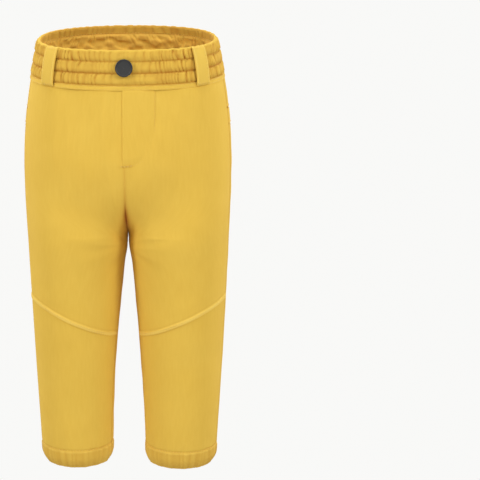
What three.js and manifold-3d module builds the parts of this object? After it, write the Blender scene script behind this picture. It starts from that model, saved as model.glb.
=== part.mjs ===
// A small child's pull-on trousers: a gathered elastic waistband with belt loops and a fixed button, a mock
// fly, back welt pockets, shaped knee seams and elastic hems. Each cloth piece is a thin closed panel. The
// panels are cut where the hips and knees bend, and fold panels fill the bends.
// Millimetres, +Z up. The origin is the centre of the waist opening, level with its sides. The front faces
// -Y, and the wearer's left is +X. A drop is a distance down from the origin.
import * as THREE from 'three';
import { mergeVertices } from 'three/addons/utils/BufferGeometryUtils.js';
import Module from 'manifold-3d';

// ---- outline of the trousers ----
const waistHalfWidth = 90;
const waistHalfDepth = 62;
const waistSlope = 0.19; // rise of the waist edge for each mm towards the back
const hipDrop = 136; // where the trousers are widest
const hipHalfWidth = 107.6;
const hipFrontDepth = 66;
const hipBackDepth = 76;
const hipSquareness = 0.06; // how much fuller than an ellipse the hip section is
const crotchDrop = 198;
const crotchCurve = 78; // height over which the centre seams curve under
const crotchSoftness = 0.72;
const thighHalfDepth = 62;
const legCentreY = 5;
const hemDrop = 453.5;
const hemReach = 94.4; // outer side of a hem, from the centre line
const hemInnerReach = 17.6; // inner side of a hem, from the centre line
const hemHalfDepth = 35;

// ---- cloth and clearances ----
const clothThickness = 1.2;
const seamGap = 0.6; // between two panels that are sewn edge to edge
const layerGap = 0.35; // between one layer of cloth and the next
const liningGap = 0.9; // between a panel's flat facets and a lining or hem layer behind it

// ---- seams ----
const sideSeamAngle = 12; // degrees in front of the widest line
const inseamAngle = 14; // degrees in front of the innermost line
const inseamShiftHeight = 90; // height below the crotch over which the inseam moves forward
const kneeSeamDrop = 315.8; // where the slanted knee seam would meet the centre line
const kneeSeamSlope = 0.465; // its rise for each mm towards the side

// ---- bends ----
const hipHingeDrop = 160;
const hipPanelCut = 6.5; // height of the hip panels' lower edge above the hip hinge, at the hinge
const hipPanelCutSlope = 0.41; // its rise for each mm towards the front
const thighCut = 47; // the thigh panels start this far below the hip hinge
const kneeHingeDrop = 325;
const kneeCut = 28; // back thigh and shin panels stop this far from the knee hinge

// ---- waistband ----
const bandHeight = 38.5;
const bandThickness = 1;
const elasticHeight = 32;
const elasticThickness = 1.4;
const elasticInset = 1.2; // from the top edge of the band
const facingThickness = 0.8;

// ---- belt loops ----
const loopWidth = 14;
const loopThickness = 1.2;
const loopLift = 1.6; // how far the middle of a loop stands off the band
const loopTopInset = 0.8;
const loopLength = 36.5;
const frontLoopAngle = 42.5; // degrees round from the side of the waist
const backLoopAngle = 40;

// ---- button ----
const buttonDrop = 17; // below the top edge of the band
const capRadius = 8.5;
const capThickness = 2.6;
const capRimWidth = 1.6;
const capRimHeight = 0.6;
const capBevel = 0.8;
const shankRadius = 3.2;
const shankLength = 1.5;
const tackRadius = 4.5;
const tackThickness = 0.8;
const postRadius = 1.4;
const postReach = 2.2; // how far the tack's post goes into the cap
const postClearance = 0.3;
const tackSeatGap = 0.45;

// ---- fly and pockets ----
const flyWidth = 31;
const flyDrop = 125;
const flyCurve = 28; // height of the curved lower end
const liningThickness = 0.8;
const weltInnerX = 44;
const weltDrop = 62; // top edge, at the inner end
const weltSlope = 0.14; // fall of the welt for each mm towards the side
const weltHeight = 15.4;
const weltThickness = 1;
const weltSideInset = 7; // from the side seam
const pocketInset = 4; // from the ends of the welt to the bag
const pocketDepth = 62;

// ---- hems ----
const hemHeight = 21.5;
const hemElasticHeight = 14;
const hemElasticThickness = 1;
const hemTurnThickness = 0.8;
const hemElasticInset = 3; // from the bottom edge

// ---- fineness of the meshes ----
const panelColumns = 10;
const ringColumns = 56;
const legRingColumns = 28;
const bandRows = 2;
const loopColumns = 2;
const loopRows = 8;
const lathePieces = 20;

const quarterTurn = Math.PI / 2;
const degree = Math.PI / 180;
const mix = (a, b, share) => a + (b - a) * share;
const clamp = (value, low, high) => Math.min(high, Math.max(low, value));
const quickThenFlat = (share) => 1 - (1 - share) ** 2;
const smooth = (share) => share * share * (3 - 2 * share);

// ---- the skin: the outer surface of the left half, which the right half mirrors ----

// Outer side of the section at a drop: it swells from waist to hip, then narrows to the hem.
function outerReach(drop) {
  if (drop < hipDrop) return mix(waistHalfWidth, hipHalfWidth, quickThenFlat(drop / hipDrop));
  const share = clamp((drop - hipDrop) / (hemDrop - hipDrop), 0, 1);
  return mix(hipHalfWidth, hemReach, share ** 1.25);
}

// Share of the leg at a drop, from 0 at the crotch to 1 at the hem.
function legShare(drop) {
  return clamp((drop - crotchDrop) / (hemDrop - crotchDrop), 0, 1);
}

// Inner side of the leg: nothing at the crotch, opening quickly and then slowly.
function innerReach(drop) {
  return seamGap / 2 + hemInnerReach * (1 - (1 - legShare(drop)) ** 1.7);
}

// How far the section has changed from hip to leg: a little softer than a quarter circle, which a power of
// a half would give.
function legBlend(drop) {
  const share = clamp((drop - crotchDrop + crotchCurve) / crotchCurve, 0, 1);
  return 1 - (1 - share * share) ** crotchSoftness;
}

// A point of the skin. turn runs from -1 at the front centre seam or inseam, through 0 at the side, to 1 at
// the back.
function skin(turn, z) {
  const drop = -z;
  const hipShare = drop < hipDrop ? quickThenFlat(drop / hipDrop) : 1;
  const reach = outerReach(drop);
  const hipAngle = turn * quarterTurn;
  const cosine = Math.cos(hipAngle);
  const sine = Math.sin(hipAngle);
  const hipDepth = mix(waistHalfDepth, turn < 0 ? hipFrontDepth : hipBackDepth, hipShare);
  const hipX = reach * cosine * (1 + hipSquareness * sine * sine);
  const hipY = hipDepth * sine * (1 + hipSquareness * cosine * cosine);
  const inner = innerReach(drop);
  const legDepth = mix(thighHalfDepth, hemHalfDepth, legShare(drop) ** 0.8);
  const legAngle = 2 * hipAngle;
  const legX = (reach + inner) / 2 + ((reach - inner) / 2) * Math.cos(legAngle);
  const legY = legCentreY + legDepth * Math.sin(legAngle);
  const blend = legBlend(drop);
  return new THREE.Vector3(mix(hipX, legX, blend), mix(hipY, legY, blend), z);
}

// The skin's steps round and down, and the direction into the cloth.
const turnStep = 1e-3;
const heightStep = 0.2;
function stepRound(turn, z) {
  return skin(turn + turnStep, z).sub(skin(turn - turnStep, z)).divideScalar(2 * turnStep);
}
function inward(turn, z) {
  const down = skin(turn, z - heightStep).sub(skin(turn, z + heightStep));
  return stepRound(turn, z).cross(down).normalize();
}

// A point at a depth inside the skin, or outside it when the depth is negative.
function layerPoint(turn, z, depth) {
  return skin(turn, z).addScaledVector(inward(turn, z), depth);
}

// The turn that lies a distance along the skin from another.
function turnAlong(turn, z, distance) {
  return turn + distance / stepRound(turn, z).length();
}

// The turn, on the hip section, where the skin has a given x. side is -1 in front and 1 behind.
function turnAtX(x, z, side) {
  const share = x / outerReach(-z);
  const fuller = 1 + hipSquareness * (1 - share * share);
  return (side * Math.acos(share / fuller)) / quarterTurn;
}

// ---- seams, as turns at a height ----
function inseamShift(z) {
  const share = clamp((-z - crotchDrop) / inseamShiftHeight, 0, 1);
  return (smooth(share) * inseamAngle) / 180;
}
function sideSeam(z) {
  return -sideSeamAngle / mix(90, 180, legBlend(-z));
}
function frontRange(z) {
  const start = -1 + inseamShift(z);
  return [turnAlong(start, z, seamGap / 2), turnAlong(sideSeam(z), z, -seamGap / 2)];
}
function backRange(z) {
  const end = 1 + inseamShift(z);
  return [turnAlong(sideSeam(z), z, seamGap / 2), turnAlong(end, z, -seamGap / 2)];
}

// ---- levels, as heights that may slant with x and y ----
const level = (drop) => () => -drop;
const bandLevel = (below) => (x, y) => waistSlope * y - below;
const hipCutLevel = (x, y) => hipPanelCut - hipHingeDrop - hipPanelCutSlope * (y - legCentreY);
const kneeSeamLevel = (x) => kneeSeamSlope * x - kneeSeamDrop;
const lowered = (base, by) => (x, y) => base(x, y) - by;

const levelRounds = 14; // enough for the height to settle on the level
function heightOn(levelAt, turnAt) {
  let z = levelAt(0, 0);
  for (let round = 0; round < levelRounds; round += 1) {
    const point = skin(turnAt(z), z);
    z = mix(z, levelAt(point.x, point.y), 0.7);
  }
  return z;
}

// ---- solids ----

// Turns a closed mesh right way out, by the sign of its volume.
function facingOut(geometry) {
  const points = geometry.attributes.position;
  const index = geometry.index.array;
  const [a, b, c] = [new THREE.Vector3(), new THREE.Vector3(), new THREE.Vector3()];
  let volume = 0;
  for (let i = 0; i < index.length; i += 3) {
    a.fromBufferAttribute(points, index[i]);
    b.fromBufferAttribute(points, index[i + 1]);
    c.fromBufferAttribute(points, index[i + 2]);
    volume += a.dot(b.cross(c));
  }
  if (volume < 0) {
    for (let i = 0; i < index.length; i += 3) {
      [index[i], index[i + 1]] = [index[i + 1], index[i]];
    }
  }
  return geometry;
}

// A closed sheet between two grids of points. pointAt(across, down, isInner) takes shares from 0 to 1.
function sheetGeometry(pointAt, columns, rows, isRing) {
  const rowLength = isRing ? columns : columns + 1;
  const layerLength = rowLength * (rows + 1);
  const positions = [];
  for (const isInner of [false, true]) {
    for (let row = 0; row <= rows; row += 1) {
      for (let column = 0; column < rowLength; column += 1) {
        positions.push(...pointAt(column / columns, row / rows, isInner).toArray());
      }
    }
  }
  const at = (column, row, isInner) => (isInner ? layerLength : 0) + row * rowLength + (column % rowLength);
  const index = [];
  const quad = (a, b, c, d) => index.push(a, b, c, a, c, d);
  for (let column = 0; column < columns; column += 1) {
    for (let row = 0; row < rows; row += 1) {
      quad(at(column, row), at(column, row + 1), at(column + 1, row + 1), at(column + 1, row));
      quad(
        at(column, row, true),
        at(column + 1, row, true),
        at(column + 1, row + 1, true),
        at(column, row + 1, true),
      );
    }
    quad(at(column, 0), at(column + 1, 0), at(column + 1, 0, true), at(column, 0, true));
    quad(at(column, rows), at(column, rows, true), at(column + 1, rows, true), at(column + 1, rows));
  }
  for (let row = 0; row < rows && !isRing; row += 1) {
    quad(at(0, row), at(0, row, true), at(0, row + 1, true), at(0, row + 1));
    quad(at(columns, row), at(columns, row + 1), at(columns, row + 1, true), at(columns, row, true));
  }
  const geometry = new THREE.BufferGeometry();
  geometry.setAttribute('position', new THREE.Float32BufferAttribute(positions, 3));
  geometry.setIndex(index);
  return facingOut(geometry);
}

// A panel of the left half between two turns and two levels, from one depth to another. A square panel's
// thickness is measured level, so its ends are flat.
function panelGeometry({ range, top, bottom, depths, columns = panelColumns, rows, isSquare = false }) {
  const pointAt = (across, down, isInner) => {
    const turnAt = (z) => mix(...range(z), across);
    const z = mix(heightOn(top, turnAt), heightOn(bottom, turnAt), down);
    const point = layerPoint(turnAt(z), z, depths[isInner ? 1 : 0]);
    return isSquare ? point.setZ(z) : point;
  };
  return sheetGeometry(pointAt, columns, rows, false);
}

// A ring round the whole waist: the left half from front to back, then the right half back to front.
function waistRingGeometry(top, bottom, depths) {
  const pointAt = (around, down, isInner) => {
    const isLeft = around < 0.5;
    const turn = isLeft ? 4 * around - 1 : 3 - 4 * around;
    const z = mix(heightOn(top, () => turn), heightOn(bottom, () => turn), down);
    const point = layerPoint(turn, z, depths[isInner ? 1 : 0]);
    if (!isLeft) point.x = -point.x;
    return point;
  };
  return sheetGeometry(pointAt, ringColumns, bandRows, true);
}

// A ring round the left leg.
function legRingGeometry(topDrop, bottomDrop, depths) {
  const pointAt = (around, down, isInner) => {
    const z = -mix(topDrop, bottomDrop, down);
    return layerPoint(2 * around - 1, z, depths[isInner ? 1 : 0]).setZ(z);
  };
  return sheetGeometry(pointAt, legRingColumns, 1, true);
}

// The same piece on the other side.
function mirrored(geometry) {
  const copy = geometry.clone();
  copy.scale(-1, 1, 1);
  return facingOut(copy);
}

function latheGeometry(profile) {
  const points = profile.map(([radius, height]) => new THREE.Vector2(radius, height));
  const geometry = new THREE.LatheGeometry(points, lathePieces);
  return facingOut(weldedGeometry(geometry));
}

// Leaves only positions, with shared corners merged and triangles that close to a line left out.
function weldedGeometry(geometry) {
  const bare = new THREE.BufferGeometry();
  bare.setAttribute('position', geometry.attributes.position);
  if (geometry.index) bare.setIndex(geometry.index);
  const welded = mergeVertices(bare, 1e-4);
  const old = welded.index.array;
  const kept = [];
  for (let i = 0; i < old.length; i += 3) {
    const [a, b, c] = [old[i], old[i + 1], old[i + 2]];
    if (a !== b && b !== c && c !== a) kept.push(a, b, c);
  }
  welded.setIndex(kept);
  return welded;
}

// ---- cutting ----
const wasm = await Module();
wasm.setup();

function solidOf(geometry) {
  const mesh = new wasm.Mesh({
    numProp: 3,
    vertProperties: new Float32Array(geometry.attributes.position.array),
    triVerts: new Uint32Array(geometry.index.array),
  });
  return new wasm.Manifold(mesh);
}

function cutGeometry(geometry, cutter) {
  const mesh = solidOf(geometry).subtract(solidOf(cutter)).getMesh();
  const result = new THREE.BufferGeometry();
  result.setAttribute('position', new THREE.Float32BufferAttribute(mesh.vertProperties, 3));
  result.setIndex([...mesh.triVerts]);
  return result;
}

// ---- materials ----
const cloth = { color: 0xe2b548, roughness: 0.85, metalness: 0 };
const innerCloth = { color: 0xd09a36, roughness: 0.9, metalness: 0 };
const elastic = { color: 0xe8e2d2, roughness: 0.8, metalness: 0 };
const darkMetal = { color: 0x3e3f42, roughness: 0.45, metalness: 0.7 };

const trousers = new THREE.Group();

function addPiece(name, geometry, finish) {
  const mesh = new THREE.Mesh(geometry, new THREE.MeshStandardMaterial(finish));
  mesh.name = name;
  trousers.add(mesh);
  return mesh;
}

// Adds a left piece and its mirror image.
function addPair(name, geometry, finish) {
  addPiece(`${name}_left`, geometry, finish);
  addPiece(`${name}_right`, mirrored(geometry), finish);
}

// ---- waistband: outer cloth, elastic, inner facing, each with a hole for the button's post ----
const elasticDepth = bandThickness + layerGap;
const facingDepth = elasticDepth + elasticThickness + layerGap;
const facingEnd = facingDepth + facingThickness;
const buttonZ = heightOn(bandLevel(buttonDrop), () => -1);
const buttonY = skin(-1, buttonZ).y;

const holeLength = 24;
const postHole = weldedGeometry(
  new THREE.CylinderGeometry(postRadius + postClearance, postRadius + postClearance, holeLength, lathePieces),
);
postHole.translate(0, buttonY, buttonZ);

function addBandLayer(name, topInset, height, depths, finish) {
  const ring = waistRingGeometry(bandLevel(topInset), bandLevel(topInset + height), depths);
  addPiece(name, cutGeometry(ring, postHole), finish);
}
addBandLayer('waistband_outer', 0, bandHeight, [0, bandThickness], cloth);
addBandLayer(
  'waistband_elastic',
  elasticInset,
  elasticHeight,
  [elasticDepth, elasticDepth + elasticThickness],
  elastic,
);
addBandLayer('waistband_facing', 0, bandHeight, [facingDepth, facingEnd], innerCloth);

// ---- belt loops: strips held at both ends, standing off the band in the middle ----
function loopGeometry(centreTurn) {
  const top = bandLevel(loopTopInset);
  const bottom = bandLevel(loopTopInset + loopLength);
  const pointAt = (across, down, isInner) => {
    const centreZ = mix(heightOn(top, () => centreTurn), heightOn(bottom, () => centreTurn), down);
    const turn = turnAlong(centreTurn, centreZ, (across - 0.5) * loopWidth);
    const z = mix(heightOn(top, () => turn), heightOn(bottom, () => turn), down);
    const standOff = layerGap + loopLift * Math.sqrt(Math.sin(down * Math.PI));
    return layerPoint(turn, z, isInner ? -standOff : -standOff - loopThickness);
  };
  return sheetGeometry(pointAt, loopColumns, loopRows, false);
}
addPair('belt_loop_front', loopGeometry(-frontLoopAngle / 90), cloth);
addPair('belt_loop_side', loopGeometry(backLoopAngle / 90), cloth);
addPiece('belt_loop_back', loopGeometry(1), cloth);

// ---- button: a cap outside the band, and a tack whose post goes through the band into the cap ----
const capUnderside = shankLength;
const capTop = shankLength + capThickness;
const postSeat = postReach + postClearance;
const capProfile = [
  [0, postSeat],
  [postRadius + postClearance, postSeat],
  [postRadius + postClearance, 0],
  [shankRadius, 0],
  [shankRadius, capUnderside],
  [capRadius - capBevel, capUnderside],
  [capRadius, capUnderside + capBevel],
  [capRadius, capTop - capBevel],
  [capRadius - capBevel, capTop],
  [capRadius - capRimWidth, capTop],
  [capRadius - capRimWidth - capRimHeight, capTop - capRimHeight],
  [0, capTop - capRimHeight],
];
const cap = addPiece('button_cap', latheGeometry(capProfile), darkMetal);
cap.position.set(0, buttonY - layerGap, buttonZ);
cap.rotation.x = Math.PI;

const tackSeat = facingEnd + tackSeatGap; // from the skin to the tack's flange
const postLength = tackSeat + layerGap + postReach;
const tackProfile = [
  [0, -tackThickness],
  [tackRadius, -tackThickness],
  [tackRadius, 0],
  [postRadius, 0],
  [postRadius, postLength],
  [0, postLength],
];
const tack = addPiece('button_tack', latheGeometry(tackProfile), darkMetal);
tack.position.set(0, buttonY + tackSeat, buttonZ);
tack.rotation.x = Math.PI;

// ---- hip panels, cut above the hip bend ----
const clothDepths = [0, clothThickness];
const panelTop = bandLevel(bandHeight + seamGap);
for (const [name, range] of [['front_hip_panel', frontRange], ['back_hip_panel', backRange]]) {
  addPair(
    name,
    panelGeometry({ range, top: panelTop, bottom: hipCutLevel, depths: clothDepths, rows: 6 }),
    cloth,
  );
}

// ---- hip folds, from the hip panels to the thigh panels ----
const thighTop = level(hipHingeDrop + thighCut);
for (const [name, range] of [['hip_fold_front', frontRange], ['hip_fold_back', backRange]]) {
  addPair(
    name,
    panelGeometry({
      range,
      top: lowered(hipCutLevel, seamGap),
      bottom: lowered(thighTop, -seamGap),
      depths: clothDepths,
      rows: 6,
    }),
    cloth,
  );
}

// ---- thigh panels, knee folds and shin panels ----
const backThighEnd = level(kneeHingeDrop - kneeCut);
const shinTop = level(kneeHingeDrop + kneeCut);
const hemBottom = level(hemDrop);
const legPieces = [
  ['front_thigh_panel', frontRange, thighTop, kneeSeamLevel, 6],
  ['back_thigh_panel', backRange, thighTop, backThighEnd, 6],
  ['knee_fold_front', frontRange, lowered(kneeSeamLevel, seamGap), lowered(shinTop, -seamGap), 3],
  ['knee_fold_back', backRange, lowered(backThighEnd, seamGap), lowered(shinTop, -seamGap), 3],
  ['front_shin_panel', frontRange, shinTop, hemBottom, 3],
  ['back_shin_panel', backRange, shinTop, hemBottom, 3],
];
for (const [name, range, top, bottom, rows] of legPieces) {
  addPair(name, panelGeometry({ range, top, bottom, depths: clothDepths, rows, isSquare: true }), cloth);
}

// ---- mock fly: a facing with a curved lower end, behind the left front panel ----
function flyRange(z) {
  return [frontRange(z)[0], turnAtX(flyWidth, z, -1)];
}
function flyEnd(x) {
  const share = clamp(x / flyWidth, 0, 1);
  return flyCurve * (1 - Math.sqrt(1 - share * share)) - flyDrop;
}
const liningDepth = clothThickness + liningGap;
const liningDepths = [liningDepth, liningDepth + liningThickness];
addPiece(
  'fly_facing',
  panelGeometry({
    range: flyRange,
    top: panelTop,
    bottom: flyEnd,
    depths: liningDepths,
    columns: 8,
    rows: 4,
  }),
  innerCloth,
);

// ---- back pockets: a welt on the outside of the back panel and a bag behind it ----
const weltTop = (x) => -weltDrop - weltSlope * (x - weltInnerX);
function weltRange(z) {
  return [turnAlong(sideSeam(z), z, weltSideInset), turnAtX(weltInnerX, z, 1)];
}
function bagRange(z) {
  const [outer, inner] = weltRange(z);
  return [turnAlong(outer, z, pocketInset), turnAlong(inner, z, -pocketInset)];
}
addPair(
  'pocket_welt',
  panelGeometry({
    range: weltRange,
    top: weltTop,
    bottom: lowered(weltTop, weltHeight),
    depths: [-layerGap - weltThickness, -layerGap],
    rows: 1,
  }),
  cloth,
);
addPair(
  'pocket_bag',
  panelGeometry({
    range: bagRange,
    top: lowered(weltTop, weltHeight / 4),
    bottom: lowered(weltTop, pocketDepth),
    depths: liningDepths,
    rows: 4,
  }),
  innerCloth,
);

// ---- hems: an elastic behind the shin panels and the turned-up cloth that covers it ----
const hemElasticDepth = clothThickness + liningGap;
const hemTurnDepth = hemElasticDepth + hemElasticThickness + layerGap;
const hemElasticEnd = hemDrop - hemElasticInset;
addPair(
  'hem_elastic',
  legRingGeometry(hemElasticEnd - hemElasticHeight, hemElasticEnd, [
    hemElasticDepth,
    hemElasticDepth + hemElasticThickness,
  ]),
  elastic,
);
addPair(
  'hem_turn',
  legRingGeometry(hemDrop - hemHeight, hemDrop, [hemTurnDepth, hemTurnDepth + hemTurnThickness]),
  innerCloth,
);

export default trousers;
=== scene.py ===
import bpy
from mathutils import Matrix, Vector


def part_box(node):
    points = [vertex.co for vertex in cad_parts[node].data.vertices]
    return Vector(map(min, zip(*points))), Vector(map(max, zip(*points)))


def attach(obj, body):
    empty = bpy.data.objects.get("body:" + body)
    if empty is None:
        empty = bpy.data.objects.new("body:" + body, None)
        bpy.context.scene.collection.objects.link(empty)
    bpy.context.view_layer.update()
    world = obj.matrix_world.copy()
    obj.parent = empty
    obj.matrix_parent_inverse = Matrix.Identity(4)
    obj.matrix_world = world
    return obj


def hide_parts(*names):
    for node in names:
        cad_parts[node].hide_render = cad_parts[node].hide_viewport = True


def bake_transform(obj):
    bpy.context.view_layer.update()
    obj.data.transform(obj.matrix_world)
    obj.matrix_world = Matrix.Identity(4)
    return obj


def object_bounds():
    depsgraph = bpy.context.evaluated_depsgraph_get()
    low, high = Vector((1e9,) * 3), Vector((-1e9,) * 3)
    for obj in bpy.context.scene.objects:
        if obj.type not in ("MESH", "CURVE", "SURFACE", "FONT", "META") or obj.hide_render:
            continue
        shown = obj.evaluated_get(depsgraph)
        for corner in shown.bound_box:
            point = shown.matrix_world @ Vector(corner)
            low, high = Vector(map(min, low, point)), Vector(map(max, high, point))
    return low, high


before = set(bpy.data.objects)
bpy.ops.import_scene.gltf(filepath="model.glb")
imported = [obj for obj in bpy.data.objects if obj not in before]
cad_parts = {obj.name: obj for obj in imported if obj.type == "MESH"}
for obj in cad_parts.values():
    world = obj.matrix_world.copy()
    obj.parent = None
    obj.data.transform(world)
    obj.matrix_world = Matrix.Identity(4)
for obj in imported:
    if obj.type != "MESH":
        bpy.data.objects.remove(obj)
cadBox = [list(corner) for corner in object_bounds()]

import math

import bpy
import numpy as np
from mathutils import Vector

# Lengths are in millimetres until a mesh is made. z is up, the front faces -y, the wearer's left is +x.
# Drops are measured down from the waist, and a turn runs round a half from -1 at the front centre seam or
# inseam, through 0 at the side, to 1 at the back.
mm = 0.001
sides = {"left": 1, "right": -1}

outline = {
    "waistHalfWidth": 90.0,
    "waistHalfDepth": 62.0,
    "waistSlope": 0.19,
    "hipDrop": 136.0,
    "hipHalfWidth": 107.6,
    "hipFrontDepth": 66.0,
    "hipBackDepth": 76.0,
    "hipSquareness": 0.06,
    "crotchDrop": 198.0,
    "crotchCurve": 78.0,
    "crotchSoftness": 0.72,
    "thighHalfDepth": 62.0,
    "legCentreY": 5.0,
    "hemDrop": -cadBox[0][2] / mm,
    "hemReach": 94.4,
    "hemInnerReach": 17.6,
    "hemHalfDepth": 35.0,
    "centreGap": 0.15,
    "sideSeamAngle": 12.0,
    "inseamAngle": 14.0,
    "inseamShiftHeight": 90.0,
    "kneeSeamDrop": 315.8,
    "kneeSeamSlope": 0.465,
    "reachEase": 1.25,
    "innerEase": 1.7,
    "depthEase": 0.8,
}


def mix(a, b, share):
    return a + (b - a) * share


def smooth(share):
    share = np.clip(share, 0, 1)
    return share * share * (3 - 2 * share)


def ramp(value, start, length):
    # climbs smoothly from 0 at the start to 1 one length further on
    return smooth((value - start) / length)


def bell(distance, width):
    return np.exp(-((distance / width) ** 2))


def bump(distance, width):
    # a bell: 1 at distance 0, nearly 0 past one width
    return bell(distance, 0.55 * width)


# the skin, the outer surface of the left half

def outerReach(drop):
    # the waist swells to the hip by 1 - (1 - s)^2, then narrows to the hem by s^reachEase
    o = outline
    hipShare = drop / o["hipDrop"]
    legShare = np.clip((drop - o["hipDrop"]) / (o["hemDrop"] - o["hipDrop"]), 0, 1)
    upper = mix(o["waistHalfWidth"], o["hipHalfWidth"], 1 - (1 - hipShare) ** 2)
    lower = mix(o["hipHalfWidth"], o["hemReach"], legShare ** o["reachEase"])
    return np.where(drop < o["hipDrop"], upper, lower)


def legShareAt(drop):
    o = outline
    return np.clip((drop - o["crotchDrop"]) / (o["hemDrop"] - o["crotchDrop"]), 0, 1)


def innerGap(drop):
    # how far the inner thigh stands from the middle: 1 - (1 - s)^innerEase of its reach at the hem
    return outline["hemInnerReach"] * (1 - (1 - legShareAt(drop)) ** outline["innerEase"])


def legBlend(drop):
    # from the hip section to the leg section, a little softer than a quarter circle
    o = outline
    share = np.clip((drop - o["crotchDrop"] + o["crotchCurve"]) / o["crotchCurve"], 0, 1)
    return 1 - (1 - share * share) ** o["crotchSoftness"]


def skin(turn, z):
    # a mix of a hip section, an ellipse filled out at its corners, and a leg section, an ellipse
    o = outline
    turn, z = np.broadcast_arrays(np.asarray(turn, float), np.asarray(z, float))
    drop = -z
    reach = outerReach(drop)
    hipShare = np.where(drop < o["hipDrop"], 1 - (1 - drop / o["hipDrop"]) ** 2, 1)
    hipAngle = turn * math.pi / 2
    cosine, sine = np.cos(hipAngle), np.sin(hipAngle)
    fullDepth = np.where(turn < 0, o["hipFrontDepth"], o["hipBackDepth"])
    hipX = reach * cosine * (1 + o["hipSquareness"] * sine ** 2)
    hipY = mix(o["waistHalfDepth"], fullDepth, hipShare) * sine * (1 + o["hipSquareness"] * cosine ** 2)
    inner = o["centreGap"] + innerGap(drop)
    legDepth = mix(o["thighHalfDepth"], o["hemHalfDepth"], legShareAt(drop) ** o["depthEase"])
    legX = (reach + inner) / 2 + (reach - inner) / 2 * np.cos(2 * hipAngle)
    legY = o["legCentreY"] + legDepth * np.sin(2 * hipAngle)
    blend = legBlend(drop)
    return np.stack([mix(hipX, legX, blend), mix(hipY, legY, blend), z], axis=-1)


def unit(vectors):
    return vectors / np.maximum(np.linalg.norm(vectors, axis=-1, keepdims=True), 1e-9)


def outward(turn, z):
    # the cross product of the steps down and round, both taken a short way each side of the point
    turnStep, heightStep = 1e-3, 0.2
    around = skin(turn + turnStep, z) - skin(turn - turnStep, z)
    down = skin(turn, z - heightStep) - skin(turn, z + heightStep)
    return unit(np.cross(down, around))


def offSkin(turn, z, height):
    return skin(turn, z) + outward(turn, z) * np.asarray(height, float)[..., None]


def asLine(points, turns, z):
    # a line of points with its directions off the cloth, as thread needs it
    return points, outward(turns, z)


def lineOff(turns, z, height):
    return offSkin(turns, z, height + 0 * z), outward(turns, z)


def turnAlong(turn, z, distance):
    turnStep = 1e-3
    speed = np.linalg.norm(skin(turn + turnStep, z) - skin(turn - turnStep, z), axis=-1) / (2 * turnStep)
    return turn + distance / speed


def turnAtX(x, z, end):
    share = x / outerReach(-z)
    fuller = 1 + outline["hipSquareness"] * (1 - share ** 2)
    return end * np.arccos(np.clip(share / fuller, -1, 1)) / (math.pi / 2)


def sideTurn(z):
    return -outline["sideSeamAngle"] / mix(90, 180, legBlend(-z))


def inseamShift(z):
    o = outline
    return smooth((-z - o["crotchDrop"]) / o["inseamShiftHeight"]) * o["inseamAngle"] / 180


def frontTurns(z):
    return -1 + inseamShift(z), sideTurn(z)


def backTurns(z):
    return sideTurn(z), 1 + inseamShift(z)


# levels that may slant with x and y

def bandLevel(below):
    return lambda x, y: outline["waistSlope"] * y - below


def kneeLevel(offset=0.0):
    return lambda x, y: outline["kneeSeamSlope"] * x - outline["kneeSeamDrop"] - offset


def flatLevel(drop):
    return lambda x, y: -drop + 0 * x


def stepTo(levelAt, turnAt, z, steps=14):
    # steps the height most of the way to the level, again and again, until it lies on it
    for _ in range(steps):
        point = skin(turnAt(z), z)
        z = mix(z, levelAt(point[..., 0], point[..., 1]), 0.7)
    return z


def settle(levelAt, turnAt, shape):
    return stepTo(levelAt, turnAt, np.full(shape, float(levelAt(np.array(0.0), np.array(0.0)))))


# gentle unevenness: sums of sines with seeded directions

def ripple(u, v, longest, shortest, seed, terms=12, slant=math.pi):
    # u and v are in mm; slant limits how far the waves turn away from running along u
    draw = np.random.default_rng(seed)
    total = 0.0
    for _ in range(terms):
        angle = draw.uniform(-slant, slant)
        pitch = draw.uniform(shortest, longest)
        phase = draw.uniform(0, 2 * math.pi)
        total = total + np.sin(2 * math.pi * (u * math.cos(angle) + v * math.sin(angle)) / pitch + phase)
    return total / math.sqrt(terms / 2)


def ringGathers(around, down, girth, longest, shortest, seed, terms=16, drift=0.25):
    # waves that close on themselves round a ring; around runs from 0 to 1 and down is in mm
    draw = np.random.default_rng(seed)
    total = 0.0
    for _ in range(terms):
        count = round(girth / draw.uniform(shortest, longest))
        phase = draw.uniform(0, 2 * math.pi)
        lean = draw.uniform(-drift, drift)
        total = total + np.sin(2 * math.pi * count * around + phase + lean * down)
    return np.tanh(total / math.sqrt(terms / 2))


def ringPleats(around, down, girth, pitch, seed, uneven=0.25, lean=0.10):
    # round crests with sharp valleys between, |sin| of a phase that runs unevenly round the ring
    draw = np.random.default_rng(seed)
    count = round(girth / pitch)
    phase = count * around
    strength = 0.0
    for k in draw.integers(3, max(8, count // 2), 7):
        shift = draw.uniform(0, 2 * math.pi)
        tilt = draw.uniform(-lean, lean)
        phase = phase + uneven * count / k / 6.0 * np.sin(2 * math.pi * k * around + shift + tilt * down)
        swell = np.sin(2 * math.pi * k * around + 2.1 * shift + 2 * tilt * down)
        strength = strength + swell / math.sqrt(3.5)
    crest = np.abs(np.sin(math.pi * phase)) ** 0.75
    return (2 * crest - 1) * (0.62 + 0.38 * np.tanh(strength))


# making meshes

def newPiece(name, points, faces, material, uv=None):
    mesh = bpy.data.meshes.new(name)
    mesh.from_pydata((np.asarray(points) * mm).tolist(), [], faces.tolist())
    mesh.update()
    if uv is not None:
        layer = mesh.uv_layers.new(name="cloth")
        loops = np.zeros(len(mesh.loops), np.int32)
        mesh.loops.foreach_get("vertex_index", loops)
        layer.data.foreach_set("uv", (np.asarray(uv)[loops] * mm).astype(np.float32).ravel())
    mesh.polygons.foreach_set("use_smooth", [True] * len(mesh.polygons))
    mesh.set_sharp_from_angle(angle=math.radians(50))
    mesh.materials.append(material)
    piece = bpy.data.objects.new(name, mesh)
    bpy.context.scene.collection.objects.link(piece)
    return piece


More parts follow.
